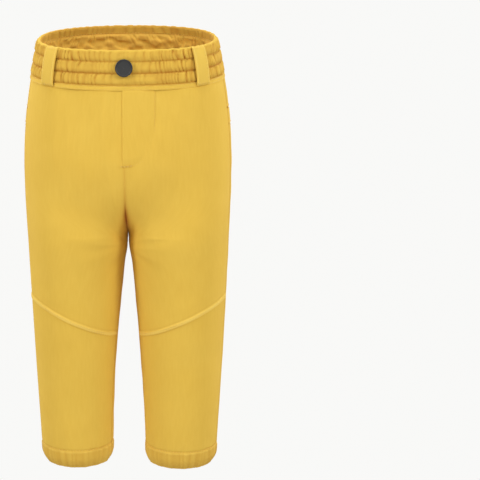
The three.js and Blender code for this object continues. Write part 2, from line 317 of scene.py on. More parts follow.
def both(values):
    # the same values for the outer and the inner face
    return np.concatenate([values, values])


def markOn(piece, **marks):
    # marks for painted light on the cloth, 0 to 1 on each point: painted shade deep in folds, seams and
    # hollows, and painted highlight on raised ridges, rims and crests
    for name, values in marks.items():
        layer = piece.data.attributes.new(name, "FLOAT", "POINT")
        layer.data.foreach_set("value", np.clip(values, 0, 1).astype(np.float32).ravel())


def gridFaces(rows, columns, start, isRing, flip):
    # quads between neighbouring points of a grid with that many rows and columns of points
    across = columns if isRing else columns - 1
    row, column = np.meshgrid(np.arange(rows - 1), np.arange(across), indexing="ij")
    nextColumn = (column + 1) % columns
    a = start + row * columns + column
    b = start + (row + 1) * columns + column
    c = start + (row + 1) * columns + nextColumn
    d = start + row * columns + nextColumn
    faces = np.stack([a, b, c, d], axis=-1).reshape(-1, 4)
    return faces[:, ::-1] if flip else faces


def stripFaces(first, second, isRing, flip):
    # quads between two lines of points, given by their numbers
    one, two = (np.append(line, line[0]) if isRing else line for line in (first, second))
    faces = np.stack([one[:-1], one[1:], two[1:], two[:-1]], axis=-1)
    return faces[:, ::-1] if flip else faces


def clothPiece(name, outer, inner, material, isRing=False, side=1):
    # a closed shell between two grids of points, each given as rows x columns x 3 for the left half
    rows, columns = outer.shape[:2]
    count = rows * columns
    points = np.concatenate([outer.reshape(-1, 3), inner.reshape(-1, 3)])
    numbers = np.arange(count).reshape(rows, columns)
    flip = side < 0
    faces = [
        gridFaces(rows, columns, 0, isRing, flip),
        gridFaces(rows, columns, count, isRing, not flip),
        stripFaces(numbers[0], numbers[0] + count, isRing, flip),
        stripFaces(numbers[-1], numbers[-1] + count, isRing, not flip),
    ]
    if not isRing:
        faces.append(stripFaces(numbers[:, 0], numbers[:, 0] + count, False, not flip))
        faces.append(stripFaces(numbers[:, -1], numbers[:, -1] + count, False, flip))
    points = points * np.array([side, 1, 1])
    return newPiece(name, points, np.concatenate(faces), material, both(clothUv(outer).reshape(-1, 2)))


def clothUv(grid):
    # lengths along the cloth: across each row, and down the middle column
    across = np.linalg.norm(np.diff(grid, axis=1), axis=-1).cumsum(1)
    across = np.concatenate([np.zeros((grid.shape[0], 1)), across], axis=1)
    middle = grid[:, grid.shape[1] // 2]
    down = np.append(0, np.linalg.norm(np.diff(middle, axis=0), axis=-1).cumsum())
    return np.stack([across - across[:, -1:] / 2, np.broadcast_to(-down[:, None], across.shape)], axis=-1)


# thread

thread = {
    "stitch": 2.5,
    "pitch": 3.1,
    "radius": 0.24,
    "sink": 0.16,
    "sides": 5,
    "spacing": 0.25,       # between the path's points
}


def resample(path, normals, spacing):
    lengths = np.append(0, np.linalg.norm(np.diff(path, axis=0), axis=-1).cumsum())
    at = np.arange(0, lengths[-1] + 1e-6, spacing)
    pick = lambda values: np.stack([np.interp(at, lengths, values[:, k]) for k in range(3)], axis=-1)
    return at, pick(path), unit(pick(normals))


def stitchesAlong(path, normals):
    # each stitch is a short five-sided spindle, its middle proud of the cloth and its ends sunk in it
    stitch, spacing = thread["stitch"], thread["spacing"]
    at, fine, up = resample(path, normals, spacing)
    starts = np.arange(0.3, at[-1] - stitch, thread["pitch"])
    shares = np.array([0.0, 0.16, 0.5, 0.84, 1.0])
    widths = np.array([0.05, 0.8, 1.0, 0.8, 0.05])
    lifts = np.array([-1.0, 0.1, 0.6, 0.1, -1.0]) * thread["sink"]
    stations = starts[:, None] + stitch * shares
    index = np.clip(np.round(stations / spacing).astype(int), 0, len(at) - 1)
    centre, normal = fine[index], up[index]
    along = unit(centre[:, -1] - centre[:, 0])[:, None]
    sideways = unit(np.cross(along, normal))
    angles = 2 * math.pi * np.arange(thread["sides"]) / thread["sides"]
    ring = (
        sideways[:, :, None] * np.cos(angles)[:, None] + normal[:, :, None] * np.sin(angles)[:, None]
    ) * (thread["radius"] * widths)[None, :, None, None]
    points = (centre + normal * lifts[None, :, None])[:, :, None] + ring
    count, stationCount, sideCount = points.shape[:3]
    one = gridFaces(stationCount, sideCount, 0, True, True)
    faces = one[None] + (np.arange(count) * stationCount * sideCount)[:, None, None]
    return points.reshape(-1, 3), faces.reshape(-1, 4)


def threadPiece(name, lines, material, side=1):
    # joins the stitches of several lines; each line is (path, normals)
    allPoints, allFaces, start = [], [], 0
    for line in lines:
        points, faces = stitchesAlong(*line)
        allPoints.append(points)
        allFaces.append(faces + start)
        start += len(points)
    points = np.concatenate(allPoints) * np.array([side, 1, 1])
    faces = np.concatenate(allFaces)
    return newPiece(name, points, faces[:, ::-1] if side < 0 else faces, material)


# materials

def linear(red, green, blue):
    # a colour as seen on a screen, 0 to 255, as the light it stands for
    seen = np.array([red, green, blue]) / 255
    return (*np.where(seen <= 0.04045, seen / 12.92, ((seen + 0.055) / 1.055) ** 2.4), 1.0)


def groupSocket(group, name, direction, kind, default=None):
    socket = group.interface.new_socket(name=name, in_out=direction, socket_type=kind)
    if default is not None:
        socket.default_value = default
    return socket


class Nodes:  # short ways to add and join shader nodes in one tree

    def __init__(self, tree):
        self.tree = tree

    def add(self, kind, **settings):
        node = self.tree.nodes.new(kind)
        for key, value in settings.items():
            setattr(node, key, value)
        return node

    def join(self, source, target):
        self.tree.links.new(source, target)

    def give(self, target, value):
        # a number or colour is written in the socket, and another node's output is joined to it
        if isinstance(value, (int, float, tuple)):
            target.default_value = value
        else:
            self.join(value, target)

    def math(self, operation, first, second=None, clamp=False):
        node = self.add("ShaderNodeMath", operation=operation, use_clamp=clamp)
        for socket, value in zip(node.inputs, (first, second)):
            if value is not None:
                self.give(socket, value)
        return node.outputs[0]

    def noise(self, vector, scale, detail=2.0):
        node = self.add("ShaderNodeTexNoise", noise_dimensions="3D")
        self.give(node.inputs["Scale"], scale)
        self.give(node.inputs["Detail"], detail)
        self.join(vector, node.inputs["Vector"])
        return node.outputs["Fac"]

    def colours(self, first, second, share):
        node = self.add("ShaderNodeMix", data_type="RGBA")
        for name, value in (("A", first), ("B", second), ("Factor", share)):
            self.give(node.inputs[name], value)
        return node.outputs["Result"]

    def bump(self, height, distance, strength=1.0):
        node = self.add("ShaderNodeBump")
        self.give(node.inputs["Distance"], distance)
        self.give(node.inputs["Strength"], strength)
        self.join(height, node.inputs["Height"])
        return node.outputs["Normal"]

    def mark(self, name):
        return self.add("ShaderNodeAttribute", attribute_name=name).outputs["Fac"]


def weaveGroup():
    # fine twill: ribs at a slant, broken by the crossing yarns, with a little fuzz; the input is in metres
    group = bpy.data.node_groups.new("fineTwill", "ShaderNodeTree")
    groupSocket(group, "Along", "INPUT", "NodeSocketVector")
    groupSocket(group, "Pitch", "INPUT", "NodeSocketFloat", 0.0007)
    groupSocket(group, "Height", "OUTPUT", "NodeSocketFloat")
    groupSocket(group, "Fleck", "OUTPUT", "NodeSocketFloat")
    n = Nodes(group)
    given = n.add("NodeGroupInput")
    result = n.add("NodeGroupOutput")
    parts = n.add("ShaderNodeSeparateXYZ")
    n.join(given.outputs["Along"], parts.inputs[0])
    turnPerMetre = n.math("DIVIDE", 2 * math.pi, given.outputs["Pitch"])
    across = n.math("MULTIPLY", parts.outputs[0], turnPerMetre)
    down = n.math("MULTIPLY", parts.outputs[1], turnPerMetre)
    slant = n.math("SINE", n.math("ADD", across, n.math("MULTIPLY", down, 1.2)))
    crossing = n.math("SINE", n.math("MULTIPLY", across, 2.0))
    grain = n.noise(given.outputs["Along"], 900, 3)
    rib = n.math("MULTIPLY", slant, 0.30)
    yarn = n.math("MULTIPLY", crossing, 0.12)
    fuzz = n.math("MULTIPLY", n.math("SUBTRACT", grain, 0.5), 0.7)
    height = n.math("ADD", n.math("ADD", rib, yarn), n.math("ADD", fuzz, 0.5))
    n.join(height, result.inputs["Height"])
    stretch = n.add("ShaderNodeMapping")
    stretch.inputs["Scale"].default_value = (420, 60, 1)
    n.join(given.outputs["Along"], stretch.inputs["Vector"])
    slub = n.noise(stretch.outputs[0], 1.0, 4)
    n.join(n.math("MULTIPLY", n.math("SUBTRACT", slub, 0.35), 3.0, clamp=True), result.inputs["Fleck"])
    return group


fineTwill = weaveGroup()


def startMaterial(name, constants):
    # constants are values of the Principled shader's own inputs
    material = bpy.data.materials.new(name)
    material.use_nodes = True
    n = Nodes(material.node_tree)
    shader = material.node_tree.nodes["Principled BSDF"].inputs
    for word, value in constants.items():
        shader[word].default_value = value
    return material, n, shader, n.add("ShaderNodeTexCoord").outputs


def clothMaterial(name, light, deep, paintedShadeColour, worn, relief):
    # two close shades: cloudy over centimetres, streaked along the yarns
    material, n, shader, place = startMaterial(name, {
        "Sheen Weight": 0.03,
        "Sheen Roughness": 0.45,
        "Sheen Tint": (1.0, 0.86, 0.5, 1.0),
        "Specular IOR Level": 0.25,
    })
    weave = n.add("ShaderNodeGroup")
    weave.node_tree = fineTwill
    n.join(place["UV"], weave.inputs["Along"])
    fleck, height = weave.outputs["Fleck"], weave.outputs["Height"]
    cloud = n.noise(place["Object"], 22, 2)
    flecks = n.math("MULTIPLY", fleck, 0.22)
    clouds = n.math("MULTIPLY", cloud, 0.45)
    ribs = n.math("MULTIPLY", height, 0.18)
    share = n.math("ADD", n.math("ADD", flecks, clouds), ribs, clamp=True)
    shade = n.colours(deep, light, share)
    # painted shade: the colour turns darker and more orange where a point is marked as lying in shade
    folded = n.colours(shade, paintedShadeColour, n.mark("crease"))
    # painted highlight: the colour turns paler where a point is marked as catching the light
    n.join(n.colours(folded, worn, n.mark("worn")), shader["Base Color"])
    n.join(n.math("ADD", n.math("MULTIPLY", fleck, 0.08), 0.86), shader["Roughness"])
    n.join(n.bump(height, relief, 0.8), shader["Normal"])
    return material


def threadMaterial(name, colour):
    # a twisted thread: dark and light twists at a slant to the stitch
    material, n, shader, place = startMaterial(name, {"Roughness": 0.6, "Sheen Weight": 0.2})
    dark = tuple(0.78 * c for c in colour[:3]) + (1.0,)
    n.join(n.colours(dark, colour, n.noise(place["Object"], 2600)), shader["Base Color"])
    return material


def metalMaterial(name, colour, worn):
    # dark plated metal: fine brushing, and a painted highlight that lightens the rim's sharp edges
    material, n, shader, place = startMaterial(name, {"Metallic": 0.35})
    speck = n.noise(place["Object"], 700, 4)
    edge = n.add("ShaderNodeNewGeometry")
    # painted highlight where the surface is sharply convex, at the rim
    rim = n.math("MULTIPLY", n.math("SUBTRACT", edge.outputs["Pointiness"], 0.53), 5.0, clamp=True)
    share = n.math("ADD", n.math("MULTIPLY", rim, 0.6), n.math("MULTIPLY", speck, 0.25), clamp=True)
    n.join(n.colours(colour, worn, share), shader["Base Color"])
    n.join(n.math("ADD", n.math("MULTIPLY", speck, 0.25), 0.38), shader["Roughness"])
    return material


def elasticMaterial(name):
    # knitted elastic: ribs across the band, with rubber showing between them
    material, n, shader, place = startMaterial(name, {"Roughness": 0.75})
    parts = n.add("ShaderNodeSeparateXYZ")
    n.join(place["Object"], parts.inputs[0])
    rib = n.math("SINE", n.math("MULTIPLY", parts.outputs[2], 2 * math.pi / 0.0012))
    knit = n.math("MULTIPLY", n.math("ADD", rib, 1.0), 0.5)
    n.join(n.colours(linear(196, 190, 176), linear(236, 232, 222), knit), shader["Base Color"])
    n.join(n.bump(knit, 0.0003), shader["Normal"])
    return material


mainCloth = clothMaterial(
    "goldenTwill",
    light=linear(236, 199, 89),
    deep=linear(226, 184, 72),
    paintedShadeColour=linear(176, 106, 26),
    worn=linear(243, 211, 108),
    relief=0.00012,
)
# the same cloth for the inside, painted paler than the outside: painted light that makes up for the dimmer
# light inside
innerCloth = clothMaterial(
    "goldenTwillInside",
    light=linear(250, 208, 98),
    deep=linear(238, 188, 78),
    paintedShadeColour=linear(178, 104, 28),
    worn=linear(242, 206, 106),
    relief=0.00016,
)
seamThread = threadMaterial("yellowThread", linear(240, 200, 88))
elasticKnit = elasticMaterial("elasticKnit")
buttonMetal = metalMaterial("darkButtonMetal", linear(46, 47, 49), linear(94, 95, 97))
print("materials ready")

# panels at the hip and the knee: their placement is baked into the mesh, and nothing here bends them


def bendAtHip(piece):
    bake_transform(piece)


def bendAtKnee(piece):
    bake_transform(piece)


# leg panels

panel = {
    "thickness": 0.8,
    "seamDip": 0.9,        # how far the cloth sinks at a plain seam
    "seamWidth": 1.8,
    "seamShade": 0.42,
    "tuckDepth": 0.9,      # under the waistband's border
    "tuckHeight": 3.0,
    "kneeRidge": 0.8,
    "kneeRidgeWidth": 4.0,
    "softFold": 0.35,
    "centreSeam": 0.5,
    "centreFill": 8.0,
}
band = {
    "height": 38.5,
    "girth": 490.0,        # round the band, along which its pleats are counted
    "edges": (0.0, 11.3, 22.6, 33.4),
    "puff": 0.80,
    "pinch": 0.45,
    "rollRadius": 1.9,
    "rollHeight": 1.2,
    "facingDepth": 3.3,
    "thickness": 0.5,
    "pleat": 0.85,
    "pleatPitch": 3.7,
    "underShade": (0.12, 0.36, 0.10),
    "channelPleats": (1.55, 1.15, 1.30),
}
hem = {
    "height": 21.5,
    "gather": 0.50,
    "cuff": 5.0,
    "cuffHeight": 13.0,
    "pinch": 0.5,
    "roll": 1.6,
    "lining": 3.2,         # depth of the turned cloth behind the panel
}
welt = {
    "innerX": 44.0,
    "drop": 62.0,
    "slope": 0.14,
    "height": 15.4,
    "length": 72.0,
    "sideInset": 2.5,
    "lift": 0.6,
    "trenchDepth": 1.6,
    "lipHeight": 1.3,
}


fork = {
    "hollow": 0.5,         # how far the cloth dips at the centre above the fork, and over what width
    "hollowWidth": 20.0,
    "swell": 0.80,         # the share of the gap that the inner thighs close, down to the swell's drop
    "swellDrop": 206.0,
    # the streak and the patch are painted shade in the crotch
    "streak": 0.12,
    "streakWidth": 3.0,
    "patch": 0.90,         # the deep shade in the fork: its drop, width and height
    "patchDrop": 181.0,
    "patchWidth": 2.8,
    "patchHeight": 14.0,
    "drag": 0.32,          # short folds that leave the fork, strongest at a reach from it
    "dragReach": 24.0,
    "fillWidth": 28.0,
    "overlap": 0.15,
}


def weltLevel(offset=0.0):
    # the welt's top edge, falling towards the side; a positive offset is lower
    return lambda x, y: -welt["drop"] - welt["slope"] * (x - welt["innerX"]) - offset


def rowShares(lengths):
    # shares of a height, from (end share, row count) pairs, so that rows are fine where detail is
    shares, start = [0.0], 0.0
    for end, count in lengths:
        shares.extend(start + (end - start) * (np.arange(count) + 1) / count)
        start = end
    return np.array(shares)


def panelGrid(turnsAt, top, bottom, shares, columns):
    across = np.linspace(0, 1, columns)
    shape = (columns,)
    turnAt = lambda z: mix(*turnsAt(z), across)
    zTop = settle(top, turnAt, shape)
    zBottom = settle(bottom, turnAt, shape)
    z = mix(zTop[None], zBottom[None], shares[:, None])
    return mix(*turnsAt(z), across[None]), z


def lengthsAcross(points):
    # distance of each point from its row's first and last point
    steps = np.linalg.norm(np.diff(points, axis=1), axis=-1)
    fromStart = np.concatenate([np.zeros((len(points), 1)), steps.cumsum(1)], axis=1)
    return fromStart, fromStart[:, -1:] - fromStart


def softFolds(points, seed):
    # broad shallow unevenness of cloth that hangs from the hip, longer down than across
    x, y, z = points[..., 0], points[..., 1], points[..., 2]
    around = np.hypot(x - 54, y) * np.arctan2(y, x - 54) / 1.6
    broad = ripple(around, z * 0.3, 70, 30, seed, terms=10)
    fine = ripple(around, z * 0.5, 26, 11, seed + 1, terms=10)
    return panel["softFold"] * broad + 0.10 * fine


def centreHollow(points, turn, z):
    # where the cloth faces forwards or back it dips towards the centre seam, more and more down to the crotch
    facing = smooth((np.abs(outward(turn, z)[..., 1]) - 0.45) / 0.4)
    fade = ramp(-z, 70, 110) * (1 - ramp(-z, 215, 40))
    return -fork["hollow"] * facing * fade * bell(points[..., 0], fork["hollowWidth"])


def innerMeet(turn, z):
    # just below the crotch the inner thighs swell until they nearly touch
    inward = smooth((-outward(turn, z)[..., 0] - 0.5) / 0.4)
    return fork["swell"] * innerGap(-z) * inward * (1 - ramp(-z, fork["swellDrop"], 26))


def crotchShade(points):
    # painted shade where the cloth is drawn into the crotch: a darker streak up the centre seam and a darker
    # patch at the fork
    x, drop = points[..., 0], -points[..., 2]
    streak = fork["streak"] * bell(x, fork["streakWidth"]) * ramp(drop, 120, 60)
    away = (x / fork["patchWidth"]) ** 2 + ((drop - fork["patchDrop"]) / fork["patchHeight"]) ** 2
    patch = fork["patch"] * np.exp(-away)
    return (streak + patch) * (1 - ramp(drop, 200, 25))


def crotchDrag(points, seed):
    # short slanting folds that run out from the crotch and fade over a hand's width
    x, z = points[..., 0], points[..., 2]
    reach = np.hypot(x, (z + outline["crotchDrop"] + 12))
    angle = np.arctan2(z + outline["crotchDrop"] + 12, x)
    rays = np.sin(angle * 7 + seed) + 0.6 * np.sin(angle * 13 + 2.3 * seed)
    return fork["drag"] * rays * bell(reach - fork["dragReach"], 20)


def hemCuff(height):
    # the elastic draws the last centimetre in, more towards the edge
    return -hem["cuff"] * np.clip(1 - height / hem["cuffHeight"], 0, 1) ** 2


def hemRelief(turn, z):
    # pleats from the hem's stitching to the edge, a pinch along the stitching, and the cuff drawn in
    height = z + outline["hemDrop"]
    inHem = smooth((hem["height"] + 0.5 - height) / 3)
    around = turn / 2 + 0.5
    girth = 240.0
    fine = ringPleats(around, height, girth, 6.5, 33, uneven=0.35, lean=0.03)
    broad = ringPleats(around, height, girth, 17, 35, uneven=0.35, lean=0.02)
    above = ringGathers(around, height * 0.3, girth, 22, 11, 38, terms=8, drift=0.02)
    fade = np.exp(-np.clip(height - hem["height"], 0, None) / 16)
    pleats = 0.55 * fine + 0.6 * broad
    stitched = bump(height - hem["height"], 2.2)
    relief = (
        hem["gather"] * pleats * inHem
        + 0.22 * above * fade
        - hem["pinch"] * stitched
        + 0.35 * inHem * smooth(height / 4)
        + hemCuff(height)
    )
    # painted shade in the pleats' valleys, along the stitching and over the whole hem; painted highlight just
    # below the stitching and on the pleats' crests
    crease = inHem * 0.28 * np.clip(0.5 - 0.5 * pleats, 0, None) ** 1.5 + 0.15 * stitched + 0.12 * inHem
    worn = 0.20 * bump(height - hem["height"] + 1.8, 2.0) + 0.12 * inHem * np.clip(pleats, 0, 1)
    return relief, crease, worn


def kneeGap(points):
    return points[..., 2] - kneeLevel()(points[..., 0], points[..., 1])


def kneeStep(points, isAbove):
    # the upper front panel laps over the lower one: a round raised strip above the seam
    gap = kneeGap(points)
    if isAbove:
        upperSide = smooth((panel["kneeRidgeWidth"] + 1.2 - gap) / 2.4)
        return panel["kneeRidge"] * upperSide * smooth((gap + 1.0) / 1.6)
    return -0.2 * bump(gap, 1.6)


def kneeMarks(points, isAbove):
    gap = kneeGap(points)
    # painted highlight on the raised strip above the seam, and painted shade in thin lines above the strip
    # and along the seam below it
    if isAbove:
        return 0.10 * bump(gap - panel["kneeRidgeWidth"] - 1.8, 2.2), 0.75 * bump(gap - 2.2, 3.6)
    return 0.10 * bump(gap, 1.6), 0.0


def pocketTrench(points, turn):
    # behind the welt and up to the lip above it the cloth is set back, so the slit is a real gap
    x, z = points[..., 0], points[..., 2]
    above = z - weltLevel()(x, None)
    innerEnd = smooth((x - welt["innerX"] + 0.2) / 0.8)
    sideEnd = smooth((turn - sideTurn(z) - 0.055) / 0.03)
    upper = smooth((welt["lipHeight"] - above) / 0.7)
    lower = smooth((above + welt["height"] - 2.0) / 1.5)
    lip = 0.30 * smooth((4.5 - above) / 2) * smooth((above - welt["lipHeight"] + 0.2) / 0.6)
    return (lip - welt["trenchDepth"] * upper * lower) * innerEnd * sideEnd


def pocketMarks(points):
    # painted shade in the slit, along the welt's inner end and under the welt, and a painted highlight on the
    # cloth just above the slit
    x, z = points[..., 0], points[..., 2]
    above = z - weltLevel()(x, None)
    innerEnd = smooth((x - welt["innerX"] + 1.0) / 1.0)
    slit = 0.9 * bump(above - 0.3, 1.6) * innerEnd
    around = (above > -welt["height"] - 2.5) & (above < 3.5)
    endLine = 0.35 * bump(x - welt["innerX"] + 1.0, 1.6) * around
    under = 0.30 * bump(above + welt["height"] + 0.5, 1.8) * innerEnd
    return slit + endLine + under, 0.25 * bump(above - 3.0, 1.8) * innerEnd


def easedDown(base):
    # evens each column out from hip to thigh, away from the centre: (1, 2, 1) / 4 down it, again and again
    drop = -base[..., 2]
    mask = smooth((base[..., 0] - 10) / 22) * ramp(drop, 105, 45) * (1 - ramp(drop, 250, 45))
    eased = base.copy()
    for _ in range(220):
        eased[1:-1, :, :2] = (eased[:-2, :, :2] + 2 * eased[1:-1, :, :2] + eased[2:, :, :2]) / 4
    return mix(base, eased, mask[..., None])


def centreFill(base, turn, z):
    # the cloth keeps nearer to upright above the fork, so it stands off the crotch's curve, front and back
    drop = -z
    facing = smooth((np.abs(outward(turn, z)[..., 1]) - 0.15) / 0.6)
    rise = facing * ramp(drop, 125, 60) * (1 - ramp(drop, 200, 45))
    push = panel["centreFill"] * rise * bell(base[..., 0], fork["fillWidth"])
    return np.stack([0 * push, np.sign(turn) * push, 0 * push], axis=-1)


def closeCentre(points, base, turn, z):
    # above the fork the halves overlap a hair at the centre seam, however deep the seam lies
    seam = points[:, :1] if abs(turn[0, 0] + 1) < 0.01 else points[:, -1:]
    shift = (seam[..., 0] + fork["overlap"]) * bell(base[..., 0], 6) * (1 - ramp(-z, 194, 8))
    points = points.copy()
    points[..., 0] -= shift
    return points


def makePanel(name, side, turnsAt, columns, seed, top, bottom, rows, extras=(), marks=(),
              hemmed=False, topTuck=False):
    # extras return relief and marks return painted shade and painted highlight, both from the points of the
    # bare skin
    turn, z = panelGrid(turnsAt, top, bottom, rowShares(rows), columns)
    base = skin(turn, z)
    fromStart, fromEnd = lengthsAcross(base)
    relief = softFolds(base, seed) * smooth(np.minimum(fromStart, fromEnd) / 14)
    # the centre seam lies flatter than the side seam
    pull = (panel["centreSeam"], 1.0) if abs(turn[0, 0] + 1) < 0.01 else (1.0, panel["centreSeam"])
    atSeam = pull[0] * bump(fromStart, panel["seamWidth"]) + pull[1] * bump(fromEnd, panel["seamWidth"])
    relief = relief - panel["seamDip"] * atSeam
    # painted shade along the seams, lighter at the centre seam, and painted shade in the crotch
    shade = pull[0] * bump(fromStart, 2.4) + pull[1] * bump(fromEnd, 2.4)
    crease = panel["seamShade"] * shade + crotchShade(base)
    worn = 0.0 * crease
    for extra in extras:
        relief = relief + extra(base, turn, z)
    for mark in marks:
        morePaintedShade, morePaintedHighlight = mark(base)
        crease, worn = crease + morePaintedShade, worn + morePaintedHighlight
    if topTuck:
        below = outline["waistSlope"] * base[..., 1] - z
        relief = relief - panel["tuckDepth"] * smooth((band["height"] + 1.0 - below) / panel["tuckHeight"])
    if hemmed:
        hemRise, hemPaintedShade, hemPaintedHighlight = hemRelief(turn, z)
        relief, crease, worn = relief + hemRise, crease + hemPaintedShade, worn + hemPaintedHighlight
    offset = centreFill(base, turn, z) + easedDown(base) - base
    outer = closeCentre(offSkin(turn, z, relief) + offset, base, turn, z)
    inner = closeCentre(offSkin(turn, z, relief - panel["thickness"]) + offset, base, turn, z)
    if hemmed:
        # the lower edge rolls under in a quarter circle
        rollOut, rollIn = hemRoll(turn[-1], z[-1], relief[-1])
        outer = np.concatenate([outer, rollOut])
        inner = np.concatenate([inner, rollIn])
        crease, worn = (np.concatenate([v, np.repeat(v[-1:], len(rollOut), axis=0)]) for v in (crease, worn))
    piece = clothPiece(name, outer, inner, mainCloth, side=side)
    markOn(piece, crease=both(crease), worn=both(worn))
    return piece, outer


def hemRoll(turn, z, relief):
    # the roll of the outer face, then of the inner one
    radius = hem["roll"]
    angles = np.linspace(0.12, 1.0, 8) * math.pi / 2
    rolls = []
    for thickness in (0.0, panel["thickness"]):
        small = radius - thickness
        depth = radius - small * np.cos(angles)
        drop = small * np.sin(angles)
        point = offSkin(turn[None], z[None] + 0 * depth[:, None], relief[None] - depth[:, None])
        point[..., 2] -= drop[:, None]
        rolls.append(point)
    return rolls


hemEdge = outline["hemDrop"] - hem["roll"]
splitLevel = kneeLevel()
upperTop = bandLevel(band["height"] - 2.5)


for side, s in sides.items():
    crotchSeed = 3 if s > 0 else 5
    seed = 20 if s > 0 else 60
    drag = lambda base, turn, z: (
        crotchDrag(base, crotchSeed) + centreHollow(base, turn, z) + innerMeet(turn, z)
    )
    trench = lambda base, turn, z: pocketTrench(base, turn)
    kneeAbove = lambda base, turn, z: kneeStep(base, True)
    kneeBelow = lambda base, turn, z: kneeStep(base, False)
    faces = (
        {
            "name": "front",
            "turns": frontTurns,
            "columns": 112,
            "seed": seed,
            "upperRows": [(0.05, 14), (0.94, 150), (1.0, 26)],
            "lowerRows": [(0.05, 16), (0.84, 84), (1.0, 34)],
            "upper": {"extras": (drag, kneeAbove), "marks": (lambda base: kneeMarks(base, True),)},
            "lower": {"extras": (kneeBelow,), "marks": (lambda base: kneeMarks(base, False),)},
        },
        {
            "name": "back",
            "turns": backTurns,
            "columns": 132,
            "seed": seed + 7,
            "upperRows": [(0.09, 24), (0.24, 64), (1.0, 124)],
            "lowerRows": [(0.84, 92), (1.0, 34)],
            "upper": {"extras": (drag, trench), "marks": (pocketMarks,)},
            "lower": {},
        },
    )
    for face in faces:
        where, cut = face["name"], (face["turns"], face["columns"], face["seed"])
        piece, outer = makePanel(f"{where}PanelUpper_{side}", s, *cut, upperTop, splitLevel,
                                 face["upperRows"], topTuck=True, **face["upper"])
        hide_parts(*(f"{node}_{side}" for node in (
            f"{where}_hip_panel", f"hip_fold_{where}", f"{where}_thigh_panel")))
        bendAtHip(piece)
        piece, outer = makePanel(f"{where}PanelLower_{side}", s, *cut, splitLevel, flatLevel(hemEdge),
                                 face["lowerRows"], hemmed=True, **face["lower"])
        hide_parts(f"knee_fold_{where}_{side}", f"{where}_shin_panel_{side}")
        bendAtKnee(piece)
print("leg panels made")


# waistband

def ringTurns(columns):
    # turns round the whole waist: the left half front to back, then the right half back to front
    around = np.arange(columns) / columns
    isLeft = around < 0.5
    return around, np.where(isLeft, 4 * around - 1, 3 - 4 * around), np.where(isLeft, 1, -1)


def ringPoints(turn, half, below, height):
    # a point for each row and column; below and height are per row and column
    shape = np.broadcast_shapes(below.shape, height.shape)
    turn = np.broadcast_to(turn, shape)
    below = np.broadcast_to(below, shape)
    z = stepTo(bandLevel(below), lambda z: turn, -below)
    points = offSkin(turn, z, np.broadcast_to(height, shape))
    points[..., 0] *= half
    return points


def bandRelief(around, below):
    # three puffed channels between stitched rows, pleated most where they are pinched, then a smooth border
    edges, girth = band["edges"], band["girth"]
    relief = np.zeros(np.broadcast_shapes(around.shape, below.shape))
    crease = np.zeros_like(relief)
    nearButton = 1 - 0.65 * np.exp(-((np.minimum(around, 1 - around) * girth / 22) ** 2))
    for k in range(3):
        low, high = edges[k], edges[k + 1]
        share = np.clip((below - low) / (high - low), 0, 1)
        arch = np.sin(math.pi * share ** 1.25) ** 0.6
        inside = (below >= low) & (below < high)
        bow = 0.9 * np.sin(math.pi * share) / girth
        fine = ringPleats(around + bow, below, girth, band["pleatPitch"], 100 + k)
        broad = ringPleats(around + bow, below, girth, 2.3 * band["pleatPitch"], 120 + k)
        pinched = 0.55 + 0.45 * (1 - arch)
        ends = smooth(share / 0.10) * smooth((1 - share) / 0.10)
        pleats = band["pleat"] * (fine * pinched + 0.55 * broad) * ends
        depth = band["channelPleats"][k]
        relief = relief + inside * (arch * band["puff"] + depth * pleats * nearButton)
        # painted shade in the pleats' valleys, under each puff and along the stitched rows, less over the
        # border
        deep = 0.5 - 0.5 * (0.6 * fine + 0.5 * broad)
        under = band["underShade"][k] * ramp(share, 0.55, 0.4) * (0.7 + 0.3 * broad)
        valley = 1.05 * depth * nearButton * deep ** 2 * (0.4 + 0.6 * pinched)
        crease = crease + inside * (valley + 0.10 + under)
    stitched = sum(bump(below - edge, 1.5) for edge in edges[1:])
    relief = relief - band["pinch"] * stitched
    border = smooth((below - edges[3]) / 1.2)
    borderWaves = ringGathers(around, below, girth, 11, 5, 160, terms=12, drift=0.03)
    crease = crease + 0.22 * stitched
    return relief + border * (0.30 + 0.12 * borderWaves) - 0.35 * (1 - border), crease * (1 - 0.7 * border)


bandColumns = 780
around, turn, half = ringTurns(bandColumns)


def topRise(turn):
    # the top edge stands a little higher from the sides round to the back
    return 1.8 * smooth((turn + 0.35) / 0.7)


def bandPath(offset):
    # rows of (below, height, side): up the inside, over the top edge in half an ellipse, and down the outside
    across, up = band["rollRadius"] - offset, band["rollHeight"] - offset
    centre = 0.3 - band["rollRadius"]
    inside = [(below, centre - across, 1.0) for below in np.linspace(6.6, band["rollHeight"] + 0.6, 6)]
    roll = [
        (band["rollHeight"] - up * math.sin(angle), centre - across * math.cos(angle), 0.0)
        for angle in np.linspace(0, math.pi, 9)
    ]
    levels = np.linspace(band["rollHeight"], band["height"], 47)[1:]
    outside = [(below, 0.3 - offset, -1.0) for below in levels]
    return np.array(inside + roll + outside)


